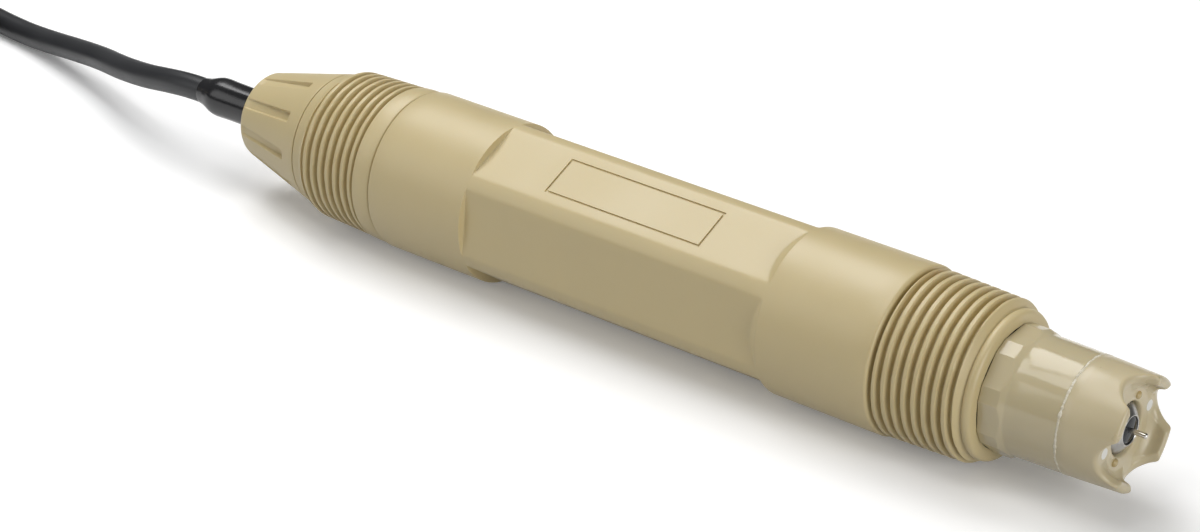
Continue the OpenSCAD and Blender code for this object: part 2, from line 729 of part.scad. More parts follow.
// Coupling nut that turns on the plug
module plug_nut() {
    color(steel) on_plug(boot_l + grip_l + 0.3) difference() {
        rotate_extrude() polygon([[nut_r - 1.5, 2.6], [nut_r - 1.5, 1.9], [nut_r - 2.1, 1.9],
            [nut_r - 2.1, 0], [nut_r - 0.5, 0], [nut_r, 0.5], [nut_r, nut_l - 0.8],
            [nut_r - 0.5, nut_l - 0.3], [nut_r - 1.5, nut_l - 0.3]]);
        for (i = [0:nut_grooves - 1]) rotate(i * 360 / nut_grooves)
            translate([nut_r + 0.25, 0, -1]) cylinder(r = 0.6, h = nut_l - 3, $fn = 20);
    }
}

body_shell();
rear_fitting();
rear_seal();
tail_cap();
cable_grommet();
clamp_washer();
potting_plug();
electrode_carrier();
carrier_seal();
standard_cell();
reference_electrode();
cell_junction();
ground_ring();
glass_stem();
platinum_pin();
ring_seals();
temperature_sensor();
amplifier_board();
amplifier_chips();
board_capacitors();
shield_can();
lead_wires();
bridge_seal();
salt_bridge_barrel();
salt_bridge_tip();
porous_junctions();
shrink_sleeve();
cable_tube();
cable_hank();
plug_boot();
plug_grip();
plug_insert();
plug_pins();
plug_nut();
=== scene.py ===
import math

import bpy
import numpy as np
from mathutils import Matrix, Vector, noise


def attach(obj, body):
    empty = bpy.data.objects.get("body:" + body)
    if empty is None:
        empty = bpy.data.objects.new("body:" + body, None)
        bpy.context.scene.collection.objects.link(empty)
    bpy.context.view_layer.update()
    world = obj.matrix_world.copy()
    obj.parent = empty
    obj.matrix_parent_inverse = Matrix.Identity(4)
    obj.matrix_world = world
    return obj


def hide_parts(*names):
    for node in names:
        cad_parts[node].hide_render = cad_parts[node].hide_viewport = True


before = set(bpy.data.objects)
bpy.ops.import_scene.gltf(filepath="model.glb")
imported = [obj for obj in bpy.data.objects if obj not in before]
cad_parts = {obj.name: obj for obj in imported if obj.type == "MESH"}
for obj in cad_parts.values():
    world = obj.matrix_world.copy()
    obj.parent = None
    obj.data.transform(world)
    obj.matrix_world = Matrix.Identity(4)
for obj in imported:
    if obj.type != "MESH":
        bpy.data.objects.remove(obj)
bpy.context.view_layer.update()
bpy.context.scene.view_settings.view_transform = "Standard"

# Camera. A long lens looks down at the tip from the sensor's right side, so that the
# sensor runs from the cable at the upper left to its four lugs at the lower right.
bpy.ops.object.camera_add(
    location=(0.331714, -0.446444, 0.299696),
    rotation=[math.radians(a) for a in (62.9408, -0.8720, 38.4056)],
)
camera = bpy.context.object
camera.data.sensor_width = 36
camera.data.lens = 91.7545
camera.data.clip_start = 0.02
camera.data.clip_end = 20
bpy.context.scene.camera = camera

# Cable. A round, black, five-core cable, 5.8 mm thick, that leaves the cap straight and
# sinks to the table in a long bow. The rest is folded into a hank, three turns beside
# each other in four layers, and pinched by its straps. The end rises to the plug.
MM = 0.001
CABLE_R = 2.9
HANK_X, HANK_Y, HANK_L = -254.0, -4.6, 44.0
HANK_MID_R, HANK_MID_Z = 23.2, 11.6
HANK_COLUMNS = (29.0, HANK_MID_R, 17.4)
HANK_LAYERS = (2.9, 8.7, 14.5, 20.3)
POINTS_PER_TURN = 60
CROSSING = 0.16
STRAP_X = HANK_X - HANK_L / 2
PINCH, PINCH_REACH, PINCH_IN, PINCH_DOWN = 1.1, 11, 0.09, 0.05

lead_in = [
    (-105, 0, 17.5), (-117, 0, 17.5), (-128, 0, 17.5), (-136, 0.1, 17.3), (-143, 0.6, 16.4),
    (-153, 2.4, 14.3), (-165, 6, 11.8), (-177, 10.4, 9.4), (-190, 14.2, 6.8), (-202, 17, 4.6),
    (-212, 18.9, 3.3), (-221, 20.2, 2.9), (-231, 21.6, 2.9), (-240, 23.1, 2.9),
    (-249, 24.2, 2.9),
]
lead_out = [
    (-325.9, -12.4, 20.7), (-323.1, -19.1, 21.6), (-318.5, -24.9, 23.2), (-312.5, -28.7, 25.4),
    (-305.5, -30.6, 28), (-298, -31, 30.5), (-291.5, -31, 31.5), (-285, -31, 31.5),
]


def smooth_route(points, steps):
    """Runs a smooth line through points in millimetres and gives it back in metres."""
    last = len(points) - 1
    line = []
    for i in range(last):
        a, b, c, d = (Vector(points[min(max(k, 0), last)]) for k in range(i - 1, i + 3))
        for j in range(steps):
            t = j / steps
            line.append(0.5 * MM * (2 * b + (c - a) * t + (2 * a - 5 * b + 4 * c - d) * t * t
                                    + (3 * b - a - 3 * c + d) * t ** 3))
    return line + [Vector(points[last]) * MM]


def loop_place(share, radius):
    """A place on one turn of the hank, with the share of the turn counted from the start
    of its north run."""
    run, bend = HANK_L, math.pi * HANK_MID_R
    along = share % 1 * 2 * (run + bend)
    if along < run:
        return HANK_X - along, HANK_Y + radius
    if along < run + bend:
        turn = math.pi * (0.5 + (along - run) / bend)
        return HANK_X - run + radius * math.cos(turn), HANK_Y + radius * math.sin(turn)
    if along < 2 * run + bend:
        return HANK_X - 2 * run - bend + along, HANK_Y - radius
    turn = math.pi * (1.5 + (along - 2 * run - bend) / bend)
    return HANK_X + radius * math.cos(turn), HANK_Y + radius * math.sin(turn)


places = []
for layer, height in enumerate(HANK_LAYERS):
    columns = HANK_COLUMNS if layer % 2 == 0 else HANK_COLUMNS[::-1]
    places += [(radius, height) for radius in columns]
bend = math.pi * HANK_MID_R
last_share = (HANK_L + bend / 2) / (2 * HANK_L + 2 * bend)
turns = len(places) - 1 + last_share
winding = []
count = int(turns * POINTS_PER_TURN)
for i in range(count + 1):
    share = i / count * turns
    k = int(share)
    part = min(max((share - k - 1 + CROSSING) / CROSSING, 0), 1)
    part = part * part * (3 - 2 * part) if k < len(places) - 1 else 0
    here, there = places[k], places[min(k + 1, len(places) - 1)]
    radius = here[0] + (there[0] - here[0]) * part
    height = here[1] + (there[1] - here[1]) * part
    x = loop_place(share, radius)[0]
    pinch = max(1 - ((x - STRAP_X) / PINCH_REACH) ** 2, 0) ** 2 * PINCH
    radius -= (radius - HANK_MID_R) * PINCH_IN * pinch
    height -= (height - HANK_MID_Z) * PINCH_DOWN * pinch
    winding.append((*loop_place(share, radius), height))
route = smooth_route(lead_in + winding[:1], 3)[:-1]
route += [Vector(point) * MM for point in winding]
route += smooth_route(winding[-1:] + lead_out, 3)[1:]

cable_line = bpy.data.curves.new("sensor_cable", "CURVE")
cable_line.dimensions = "3D"
cable_line.bevel_depth = CABLE_R * MM
cable_line.bevel_resolution = 5
cable_line.use_fill_caps = True
spline = cable_line.splines.new("POLY")
spline.points.add(len(route) - 1)
for point, place in zip(spline.points, route):
    point.co = (*place, 1)
spline.use_smooth = True
cable = bpy.data.objects.new("sensor_cable", cable_line)
bpy.context.scene.collection.objects.link(cable)


def surface(name, shades, roughness, patch, grain, relief, metal=0.0):
    """A finish with two shades in soft patches, a fine grain and a slight unevenness of
    gloss. Patch and grain sizes and the relief are in millimetres."""
    made = bpy.data.materials.new(name)
    made.use_nodes = True
    nodes, links = made.node_tree.nodes, made.node_tree.links
    shader = nodes["Principled BSDF"]
    shader.inputs["Metallic"].default_value = metal
    place = nodes.new("ShaderNodeTexCoord")
    patches = nodes.new("ShaderNodeTexNoise")
    patches.inputs["Scale"].default_value = 1 / (patch * MM)
    patches.inputs["Detail"].default_value = 4
    links.new(place.outputs["Object"], patches.inputs["Vector"])
    blend = nodes.new("ShaderNodeMix")
    blend.data_type = "RGBA"
    blend.inputs["A"].default_value = (*shades[0], 1)
    blend.inputs["B"].default_value = (*shades[1], 1)
    links.new(patches.outputs["Fac"], blend.inputs["Factor"])
    links.new(blend.outputs["Result"], shader.inputs["Base Color"])
    gloss = nodes.new("ShaderNodeMapRange")
    gloss.inputs["From Min"].default_value = 0.3
    gloss.inputs["From Max"].default_value = 0.7
    gloss.inputs["To Min"].default_value = roughness * 0.85
    gloss.inputs["To Max"].default_value = roughness * 1.15
    links.new(patches.outputs["Fac"], gloss.inputs["Value"])
    links.new(gloss.outputs["Result"], shader.inputs["Roughness"])
    grains = nodes.new("ShaderNodeTexNoise")
    grains.inputs["Scale"].default_value = 1 / (grain * MM)
    grains.inputs["Detail"].default_value = 3
    links.new(place.outputs["Object"], grains.inputs["Vector"])
    bump = nodes.new("ShaderNodeBump")
    bump.inputs["Strength"].default_value = 1.0
    bump.inputs["Distance"].default_value = relief * MM
    links.new(grains.outputs["Fac"], bump.inputs["Height"])
    links.new(bump.outputs["Normal"], shader.inputs["Normal"])
    return made


cable_black = surface("cable_jacket_black", [(0.020, 0.021, 0.023), (0.034, 0.035, 0.038)],
                      0.42, patch=14, grain=0.35, relief=0.02)
cable_line.materials.append(cable_black)
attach(cable, "root")
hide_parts("cable_tube", "cable_hank")


# Shrink sleeve. A glossy black tube shrunk over the cable's first centimetres, where the
# cable enters the cap. It has drawn in at its free end and left a low bulge behind that.
SENSOR_X, SENSOR_LINE = -111.28, (0.0, 17.5)
BORE_R = 2.95


def round_edges(piece, width, segments, angle=30):
    """Rounds the edges of a piece that bend by more than an angle."""
    rounding = piece.modifiers.new("rounded edges", "BEVEL")
    rounding.width = width * MM
    rounding.segments = segments
    rounding.angle_limit = math.radians(angle)
    bpy.ops.object.modifier_apply(modifier=rounding.name)


def turned(name, outline, start, line, steps=144, edge=0.0):
    """Turns an outline of stations and radii in millimetres round a line along X.
    The outline's first and last points meet, or both lie on the line."""
    bpy.ops.object.select_all(action="DESELECT")
    bpy.ops.mesh.primitive_plane_add(size=MM, location=(0, 0, 0))
    piece = bpy.context.object
    piece.name = piece.data.name = name
    bpy.ops.object.mode_set(mode="EDIT")
    bpy.ops.mesh.select_all(action="SELECT")
    bpy.ops.mesh.merge(type="CENTER")
    corners = [Vector((start + s, line[0], line[1] + r)) * MM for s, r in outline]
    bpy.ops.transform.translate(value=corners[0])
    for here, there in zip(corners, corners[1:]):
        bpy.ops.mesh.extrude_region_move(TRANSFORM_OT_translate={"value": there - here})
    bpy.ops.mesh.select_all(action="SELECT")
    bpy.ops.mesh.spin(steps=steps, angle=2 * math.pi, axis=(1, 0, 0),
                      center=(start * MM, line[0] * MM, line[1] * MM))
    bpy.ops.mesh.select_all(action="SELECT")
    bpy.ops.mesh.remove_doubles(threshold=0.002 * MM)
    bpy.ops.mesh.normals_make_consistent(inside=False)
    bpy.ops.object.mode_set(mode="OBJECT")
    if edge:
        round_edges(piece, edge, 3, angle=25)
    bpy.ops.object.shade_smooth_by_angle(angle=math.radians(35))
    return piece


sleeve = turned("cable_shrink_sleeve", [
    (-20, BORE_R), (-19.7, 3.05), (-18.6, 3.25), (-17.4, 3.65), (-16.2, 4.1), (-15.1, 4.4),
    (-14, 4.5), (-12.6, 4.47), (-11, 4.4), (-7, 4.38), (-2, 4.4), (3, 4.4), (3, BORE_R),
    (-20, BORE_R)], SENSOR_X, SENSOR_LINE)
sleeve_black = surface("shrink_tube_black", [(0.012, 0.012, 0.013), (0.02, 0.02, 0.022)],
                       0.2, patch=6, grain=1.6, relief=0.014)
sleeve.data.materials.append(sleeve_black)
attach(sleeve, "root")
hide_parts("shrink_sleeve")


# Plug. A straight circular connector with a ribbed boot, a moulded grip with six finger
# flutes, five gilt pins in a black carrier and a nickel-plated coupling nut that turns.
PLUG_X, PLUG_LINE = -288.0, (-31.0, 31.5)
BOOT_L, BOOT_RIBS, BOOT_WALL, BOOT_SLOPE = 24.0, 5, 0.9, 0.085
GRIP_L, GRIP_R = 24.0, 8.3
FLUTES, FLUTE_R, FLUTE_OUT, FLUTE_L = 6, 3.2, 2.4, GRIP_L - 9

boot_outline = [(0, BORE_R), (0, 3.6), (2, 3.97)]
for rib in range(BOOT_RIBS):
    for share, step in ((0.04, 0.45), (0.3, 0.5), (0.42, -0.2), (0.9, -0.2)):
        station = 2 + (rib + share) * (BOOT_L - 6) / BOOT_RIBS
        boot_outline.append((station, CABLE_R + BOOT_WALL + station * BOOT_SLOPE + step))
boot_outline += [(BOOT_L - 3, 5.1), (BOOT_L + 0.5, 5.1), (BOOT_L + 0.5, BORE_R), (0, BORE_R)]
boot = turned("plug_bend_boot", boot_outline, PLUG_X, PLUG_LINE, edge=0.12)
boot_rubber = surface("boot_rubber", [(0.022, 0.022, 0.024), (0.035, 0.035, 0.037)],
                      0.55, patch=5, grain=0.3, relief=0.03)
boot.data.materials.append(boot_rubber)
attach(boot, "root")
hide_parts("plug_boot")


def cut_away(piece, cutter, label):
    """Cuts the cutter's form out of a piece and takes the cutter away."""
    bpy.ops.object.select_all(action="DESELECT")
    piece.select_set(True)
    bpy.context.view_layer.objects.active = piece
    cut = piece.modifiers.new(label, "BOOLEAN")
    cut.object = cutter
    cut.operation = "DIFFERENCE"
    bpy.ops.object.modifier_apply(modifier=cut.name)
    bpy.data.objects.remove(cutter)


grip = turned("plug_hand_grip", [
    (24, 0), (24, 5.7), (26.4, 7.7), (28, GRIP_R), (46, GRIP_R), (47.4, 7.9), (48, 7.4), (48, 5.7),
    (50.5, 5.7), (50.5, 6.3), (53, 6.3), (53, 5.3), (59, 5.3), (59, 4.3), (49, 4.3), (49, 0)],
    PLUG_X, PLUG_LINE, steps=96)
flute_x = PLUG_X + BOOT_L + 5 + FLUTE_L / 2
reach = GRIP_R + FLUTE_OUT
for i in range(FLUTES):
    turn = math.radians(30 + 60 * i)
    bpy.ops.object.select_all(action="DESELECT")
    bpy.ops.mesh.primitive_cylinder_add(
        vertices=48, radius=FLUTE_R * MM, depth=FLUTE_L * MM, rotation=(0, math.pi / 2, 0),
        location=(flute_x * MM, (PLUG_LINE[0] + reach * math.cos(turn)) * MM,
                  (PLUG_LINE[1] + reach * math.sin(turn)) * MM))
    cutter = bpy.context.object
    round_edges(cutter, 1.2, 4)
    cut_away(grip, cutter, "finger flute")
bpy.ops.object.shade_smooth_by_angle(angle=math.radians(28))
grip_black = surface("grip_moulding_black", [(0.02, 0.02, 0.022), (0.03, 0.03, 0.032)],
                     0.4, patch=7, grain=0.22, relief=0.03)
grip.data.materials.append(grip_black)
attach(grip, "root")
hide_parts("plug_grip")

insert_black = surface("contact_carrier_black", [(0.025, 0.025, 0.028), (0.04, 0.04, 0.043)],
                       0.35, patch=3, grain=0.2, relief=0.02)
pin_gilt = surface("contact_gilt", [(0.83, 0.60, 0.22), (0.90, 0.68, 0.30)],
                   0.18, patch=2, grain=0.1, relief=0.002, metal=1.0)


def dress(node, finish):
    """Gives a small part that keeps its plain shape the finish of its own material."""
    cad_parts[node].data.materials.clear()
    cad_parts[node].data.materials.append(finish)


dress("plug_insert", insert_black)
dress("plug_pins", pin_gilt)


# Coupling nut of the plug, cut from brass bar and nickel-plated. Twenty fine grooves run
# round it for the fingers, and it turns on the plug's grip between two shoulders.
NUT_GROOVES, NUT_GROOVE_DEPTH, NUT_GAP, NUT_R = 20, 0.42, 0.3, 7.9


def moulded(name, stations, radii, angles, start, line, sharp=35):
    """Rolls a flat sheet up round a line along X, for a form whose radius changes both
    along and round it: a row for each station and a column for each direction, seen from
    +Y over +Z. Stations may differ in each column."""
    rows, columns = radii.shape
    bpy.ops.object.select_all(action="DESELECT")
    bpy.ops.mesh.primitive_grid_add(x_subdivisions=columns, y_subdivisions=rows - 1,
                                    size=MM, location=(0, 0, 0))
    piece = bpy.context.object
    piece.name = piece.data.name = name
    across = np.append(np.radians(angles), np.radians(angles[0]) + 2 * math.pi)
    radii = np.hstack([radii, radii[:, :1]])
    stations = np.broadcast_to(np.reshape(stations, (rows, -1)), (rows, columns)) \
        if np.size(stations) == rows else stations
    stations = np.hstack([stations, stations[:, :1]])
    places = np.stack([start + stations, line[0] + radii * np.cos(across),
                       line[1] + radii * np.sin(across)], axis=2) * MM
    piece.data.vertices.foreach_set("co", places.astype(np.float32).ravel())
    piece.data.update()
    bpy.ops.object.mode_set(mode="EDIT")
    bpy.ops.mesh.select_all(action="SELECT")
    bpy.ops.mesh.remove_doubles(threshold=0.001 * MM)
    bpy.ops.mesh.normals_make_consistent(inside=False)
    bpy.ops.object.mode_set(mode="OBJECT")
    bpy.ops.object.shade_smooth_by_angle(angle=math.radians(sharp))
    return piece


nut_angles = np.arange(0, 360, 1.5)
nut_outline = np.array([
    (1.9, 6.4), (1.9, 5.8), (0, 5.8), (0, 7.2), (0.12, 7.5), (0.5, NUT_R), (1.2, NUT_R),
    (2.0, NUT_R), (9.6, NUT_R), (10.4, NUT_R), (11.6, NUT_R), (12.2, NUT_R), (12.6, 7.5),
    (12.7, 7.3), (12.7, 6.4), (1.9, 6.4)])
nut_r = np.repeat(nut_outline[:, 1:], len(nut_angles), axis=1)
wave = 0.5 - 0.5 * np.cos(np.radians(nut_angles * NUT_GROOVES))
nut_r[7:9] -= NUT_GROOVE_DEPTH * wave ** 1.5
nut = moulded("plug_coupling_nut", nut_outline[:, 0], nut_r, nut_angles,
              PLUG_X + BOOT_L + GRIP_L + NUT_GAP, PLUG_LINE, sharp=28)
nickel = surface("nickel_plate", [(0.60, 0.58, 0.54), (0.68, 0.66, 0.62)],
                 0.22, patch=4, grain=0.12, relief=0.004, metal=1.0)
nut.data.materials.append(nickel)
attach(nut, "coupling_nut")
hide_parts("plug_nut")


# Straps. Two black hook-and-loop straps hold the hank together, one round each of its
# runs. They are thin webbing, pulled tight, so that they sink in between the turns.
STRAP_W, STRAP_SPAN, STRAP_RISE, STRAP_THICK, STRAP_CORNER = 10, 17.4, 23.16, 1.0, 2.8
strap_black = surface("strap_webbing", [(0.03, 0.03, 0.033), (0.075, 0.075, 0.08)],
                      0.8, patch=0.5, grain=0.25, relief=0.12)
for name, middle in (("hank_strap_north", HANK_Y + HANK_MID_R),
                     ("hank_strap_south", HANK_Y - HANK_MID_R)):
    bpy.ops.object.select_all(action="DESELECT")
    bpy.ops.mesh.primitive_cube_add(size=1, location=(0, 0, 0))
    strap = bpy.context.object
    strap.name = strap.data.name = name
    strap.scale = (STRAP_W * MM, STRAP_SPAN * MM, STRAP_RISE * MM)
    strap.location = (STRAP_X * MM, middle * MM, HANK_MID_Z * MM)
    bpy.ops.object.transform_apply(location=True, rotation=True, scale=True)
    bpy.ops.object.mode_set(mode="EDIT")
    bpy.ops.mesh.select_mode(type="FACE")
    bpy.ops.mesh.select_all(action="DESELECT")
    bpy.ops.object.mode_set(mode="OBJECT")
    for face in strap.data.polygons:
        face.select = abs(face.normal.x) > 0.9
    bpy.ops.object.mode_set(mode="EDIT")
    bpy.ops.mesh.delete(type="ONLY_FACE")
    bpy.ops.mesh.select_mode(type="VERT")
    bpy.ops.mesh.select_all(action="SELECT")
    bpy.ops.mesh.bevel(offset=STRAP_CORNER * MM, segments=6, affect="EDGES")
    bpy.ops.object.mode_set(mode="OBJECT")
    webbing = strap.modifiers.new("webbing", "SOLIDIFY")
    webbing.thickness = STRAP_THICK * MM
    webbing.offset = -1
    bpy.ops.object.modifier_apply(modifier=webbing.name)
    round_edges(strap, 0.2, 2, angle=60)
    bpy.ops.object.shade_smooth_by_angle(angle=math.radians(40))
    strap.data.materials.append(strap_black)
    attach(strap, "root")


# Body. One injection moulding in beige polyether ether ketone, satin from the mould: two
# round ends, a hexagon for the wrench between them and a pipe thread behind a plain nose.
# The hexagon's flats end square at the rear and run out over a slope at the front.
PITCH = 2.209
TAPER = 1 / 32
THREAD_DEPTH = 1.5
THREAD_SMALL_R = 16.55
THREAD_ROW_STEP = 0.145
CREST_SHARE, FLANK_SHARE = 0.34, 0.38
BODY_S, FLATS_S, FRONT_S, THREAD_S = 45.463, 71.063, 145.413, 172.313
RING_S, MOUTH_S = 192.35, 193.93
BODY_R, FLAT_REACH, FLAT_ANGLE = 17.5, 15.9, 114.5
NOSE_R, GROOVE_R, NECK_R = 15.2, 15.2, 14.75
RUN_OUT = 2.2
SOCKET_R, CAVITY_R, SHANK_BORE_R, SEAL_R, LIP_R = 13.3, 12.0, 11.3, 13.0, 12.5


def fade(value, low, high):
    """Rises smoothly from 0 at low to 1 at high."""
    part = np.clip((value - low) / (high - low), 0, 1)
    return part * part * (3 - 2 * part)


def soft_least(a, b, width):
    """The lesser of two lengths, with the corner between them rounded."""
    return 0.5 * (a + b - np.sqrt((a - b) ** 2 + width ** 2))


def soft_most(a, b, width):
    """The greater of two lengths, with the corner between them rounded."""
    return -soft_least(-a, -b, width)


def off_flats(angles, first, pitch, reach):
    """Distance from the axis to the nearest of the flats, in each direction."""
    off = (angles - first + pitch / 2) % pitch - pitch / 2
    return reach / np.cos(np.radians(off))


def directions(half, sides, first):
    """Directions round the axis: on each side some offsets from its middle, mirrored."""
    pitch = 360 / sides
    period = sorted([-a for a in half[1:]] + half) + [pitch / 2]
    return np.array([first + pitch * k + a for k in range(sides) for a in period])


def thread_height(station, angles, pitch, phase):
    """Height of a right-handed thread, from 0 in the groove to 1 on the crest."""
    turn = (station / pitch - angles / 360 + phase) % 1
    away = np.abs(turn - 0.5) * 2
    return 1 - np.clip((away - CREST_SHARE) / FLANK_SHARE, 0, 1) ** 1.3


half_flat = [0, 4, 8, 12, 15, 18, 20, 21.4, 22.4, 23.2, 23.9, 24.6, 25.3, 26.2, 27.4, 28.7]
body_angles = directions(half_flat, 6, FLAT_ANGLE)
stations, kinds = [], []


def rows(kind, *values):
    """Adds rows of one radius, or of one named form, at some stations."""
    for value in values:
        stations.append(value)
        kinds.append(kind)


rows(SOCKET_R, BODY_S + 0.2)
rows(16.5, BODY_S + 0.02)
rows(16.95, BODY_S + 0.04)
rows(17.25, BODY_S + 0.12)
rows(17.43, BODY_S + 0.26)
rows(BODY_R, BODY_S + 0.5, BODY_S + 5, FLATS_S - 6, FLATS_S - 1, FLATS_S - 0.35)
for share in (0.03, 0.12, 0.3, 0.5, 0.7, 0.88, 0.97, 1.0):
    rows("step", FLATS_S - 0.12 + 0.2 * share)
rows("flat", *np.linspace(FLATS_S + 0.6, FRONT_S - RUN_OUT / 2 - 0.7, 12))
rows("slope", *np.linspace(FRONT_S - RUN_OUT / 2 - 0.4, FRONT_S + RUN_OUT / 2 + 0.5, 22))
rows(BODY_R, FRONT_S + 5, THREAD_S - 5, THREAD_S - 0.6)
rows(17.44, THREAD_S - 0.35)
rows(17.28, THREAD_S - 0.14)
rows(17.0, THREAD_S)
rows(GROOVE_R + 0.2, THREAD_S + 0.02)
rows("thread", *np.arange(THREAD_S + 0.2, RING_S - 0.4, THREAD_ROW_STEP))
rows(NECK_R, RING_S - 0.34)
rows(14.97, RING_S - 0.2)
rows(15.12, RING_S)
rows(NOSE_R, RING_S + 0.25, MOUTH_S - 0.9)
rows(15.12, MOUTH_S - 0.6)
rows(14.93, MOUTH_S - 0.3)
rows(14.68, MOUTH_S - 0.12)
rows(14.4, MOUTH_S - 0.03)
rows(14.2, MOUTH_S)
rows(LIP_R, MOUTH_S, MOUTH_S - 0.25)
rows(SEAL_R, MOUTH_S - 0.3, MOUTH_S - 2.05)
rows(SHANK_BORE_R, MOUTH_S - 2.05, MOUTH_S - 10.2)
rows(CAVITY_R, MOUTH_S - 10.2, BODY_S + 12.5)
rows(SOCKET_R, BODY_S + 12.5, BODY_S + 0.2)

stations = np.array(stations)
hexagon = soft_least(off_flats(body_angles, FLAT_ANGLE, 60, FLAT_REACH), BODY_R, 0.22)
radii = np.zeros((len(stations), len(body_angles)))
for i, (s, kind) in enumerate(zip(stations, kinds)):
    if kind == "step":
        part = fade(s, FLATS_S - 0.12, FLATS_S + 0.08)
        radii[i] = BODY_R + (hexagon - BODY_R) * part
    elif kind == "flat":
        radii[i] = hexagon
    elif kind == "slope":
        cone = FLAT_REACH + (s - FRONT_S + RUN_OUT / 2) / RUN_OUT * (BODY_R - FLAT_REACH)
        radii[i] = soft_least(soft_most(hexagon, cone, 0.3), BODY_R + 0.004, 0.12)
    elif kind == "thread":
        height = thread_height(s, body_angles, PITCH, 0.40)
        crest = THREAD_SMALL_R + (RING_S - 0.53 - s) * TAPER
        ridge = crest - THREAD_DEPTH * (1 - height)
        rear = GROOVE_R + max(s - THREAD_S - 0.5, 0) * 4
        front = NECK_R + max(RING_S - 0.5 - s, 0) * 1.7
        ridge = soft_least(soft_least(ridge, rear, 0.15), front, 0.2)
        radii[i] = np.maximum(ridge, GROOVE_R - 0.5)
    else:
        radii[i] = kind
body = moulded("body_moulding", stations, radii, body_angles, SENSOR_X, SENSOR_LINE, sharp=40)

# The upper flat carries a plain engraved frame, cut by a fine square ridge in the mould.
PANEL_S, PANEL_L, PANEL_W, PANEL_LINE, PANEL_DEPTH = 108.24, 39.3, 9.9, 0.55, 0.32
bpy.ops.object.select_all(action="DESELECT")
bpy.ops.mesh.primitive_plane_add(size=1, location=(0, 0, 0))
cutter = bpy.context.object
cutter.scale = (PANEL_L * MM, PANEL_W * MM, 1)
bpy.ops.object.transform_apply(scale=True)
bpy.ops.object.mode_set(mode="EDIT")
bpy.ops.mesh.select_all(action="SELECT")
bpy.ops.mesh.inset(thickness=PANEL_LINE * MM)
bpy.ops.mesh.delete(type="FACE")
bpy.ops.mesh.select_all(action="SELECT")
bpy.ops.mesh.extrude_region_move(TRANSFORM_OT_translate={"value": (0, 0, 1 * MM)})
bpy.ops.mesh.select_all(action="SELECT")
bpy.ops.mesh.normals_make_consistent(inside=False)
bpy.ops.object.mode_set(mode="OBJECT")
tilt = math.radians(FLAT_ANGLE)
cutter.rotation_euler = (tilt - math.pi / 2, 0, 0)
depth = FLAT_REACH - PANEL_DEPTH
cutter.location = ((SENSOR_X + PANEL_S) * MM, depth * math.cos(tilt) * MM,
                   (SENSOR_LINE[1] + depth * math.sin(tilt)) * MM)
cut_away(body, cutter, "engraved frame")
bpy.ops.object.shade_smooth_by_angle(angle=math.radians(40))


def let_light_in(made, weight):
    """Lets a little warm light pass under the surface of a pale polymer."""
    shader = made.node_tree.nodes["Principled BSDF"]
    shader.inputs["Subsurface Weight"].default_value = weight
    shader.inputs["Subsurface Radius"].default_value = (1.0, 0.6, 0.25)
    shader.inputs["Subsurface Scale"].default_value = 0.0012


peek = surface("moulded_peek_satin", [(0.555, 0.455, 0.246), (0.625, 0.515, 0.286)],
               0.42, patch=22, grain=0.5, relief=0.012)
let_light_in(peek, 0.12)
body.data.materials.append(peek)
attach(body, "root")
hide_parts("body_shell")


# Rear fitting. The same moulding material, cemented into the body by a spigot. A plain
# ring at its tail end takes the cap, then come the tapered thread and a smooth collar.
SEAM_S, REAR_THREAD_S, COLLAR_S = 21.2, 24.8, 40.263
TAIL_RING_R, COLLAR_R, WIRE_BORE_R = 15.0, 17.2, 8.4
rear_angles = np.arange(0, 360, 2.0)
stations, kinds = [], []
rows(WIRE_BORE_R, SEAM_S + 0.3)
rows(14.3, SEAM_S + 0.02)
rows(14.72, SEAM_S + 0.06)
rows(14.93, SEAM_S + 0.2)
rows(TAIL_RING_R, SEAM_S + 0.45, SEAM_S + 1.8)
rows("thread", *np.arange(SEAM_S + 2.6, COLLAR_S + 0.75, THREAD_ROW_STEP))
rows(17.16, COLLAR_S + 1.1)
rows(COLLAR_R, COLLAR_S + 1.5, BODY_S - 0.55)
rows(17.08, BODY_S - 0.28)
rows(16.8, BODY_S - 0.12)
rows(16.5, BODY_S - 0.1)
rows(WIRE_BORE_R, BODY_S - 0.1, SEAM_S + 0.3)
stations = np.array(stations)
radii = np.zeros((len(stations), len(rear_angles)))
for i, (s, kind) in enumerate(zip(stations, kinds)):
    if kind == "thread":
        height = thread_height(s, rear_angles, PITCH, 0.10)
        crest = THREAD_SMALL_R + (s - REAR_THREAD_S) * TAPER
        ridge = crest - THREAD_DEPTH * (1 - height)
        rear = TAIL_RING_R + max(s - REAR_THREAD_S + 1.3, 0) * 0.9
        front = 15.3 + max(s - COLLAR_S + 0.12, 0) * 3.4
        ridge = soft_most(soft_least(ridge, rear, 0.2), front, 0.1)
        radii[i] = soft_least(ridge, COLLAR_R - 0.06, 0.1)
    else:
        radii[i] = kind
rear = moulded("rear_fitting_moulding", stations, radii, rear_angles, SENSOR_X, SENSOR_LINE,
               sharp=40)
rear.data.materials.append(peek)
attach(rear, "root")
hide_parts("rear_fitting")


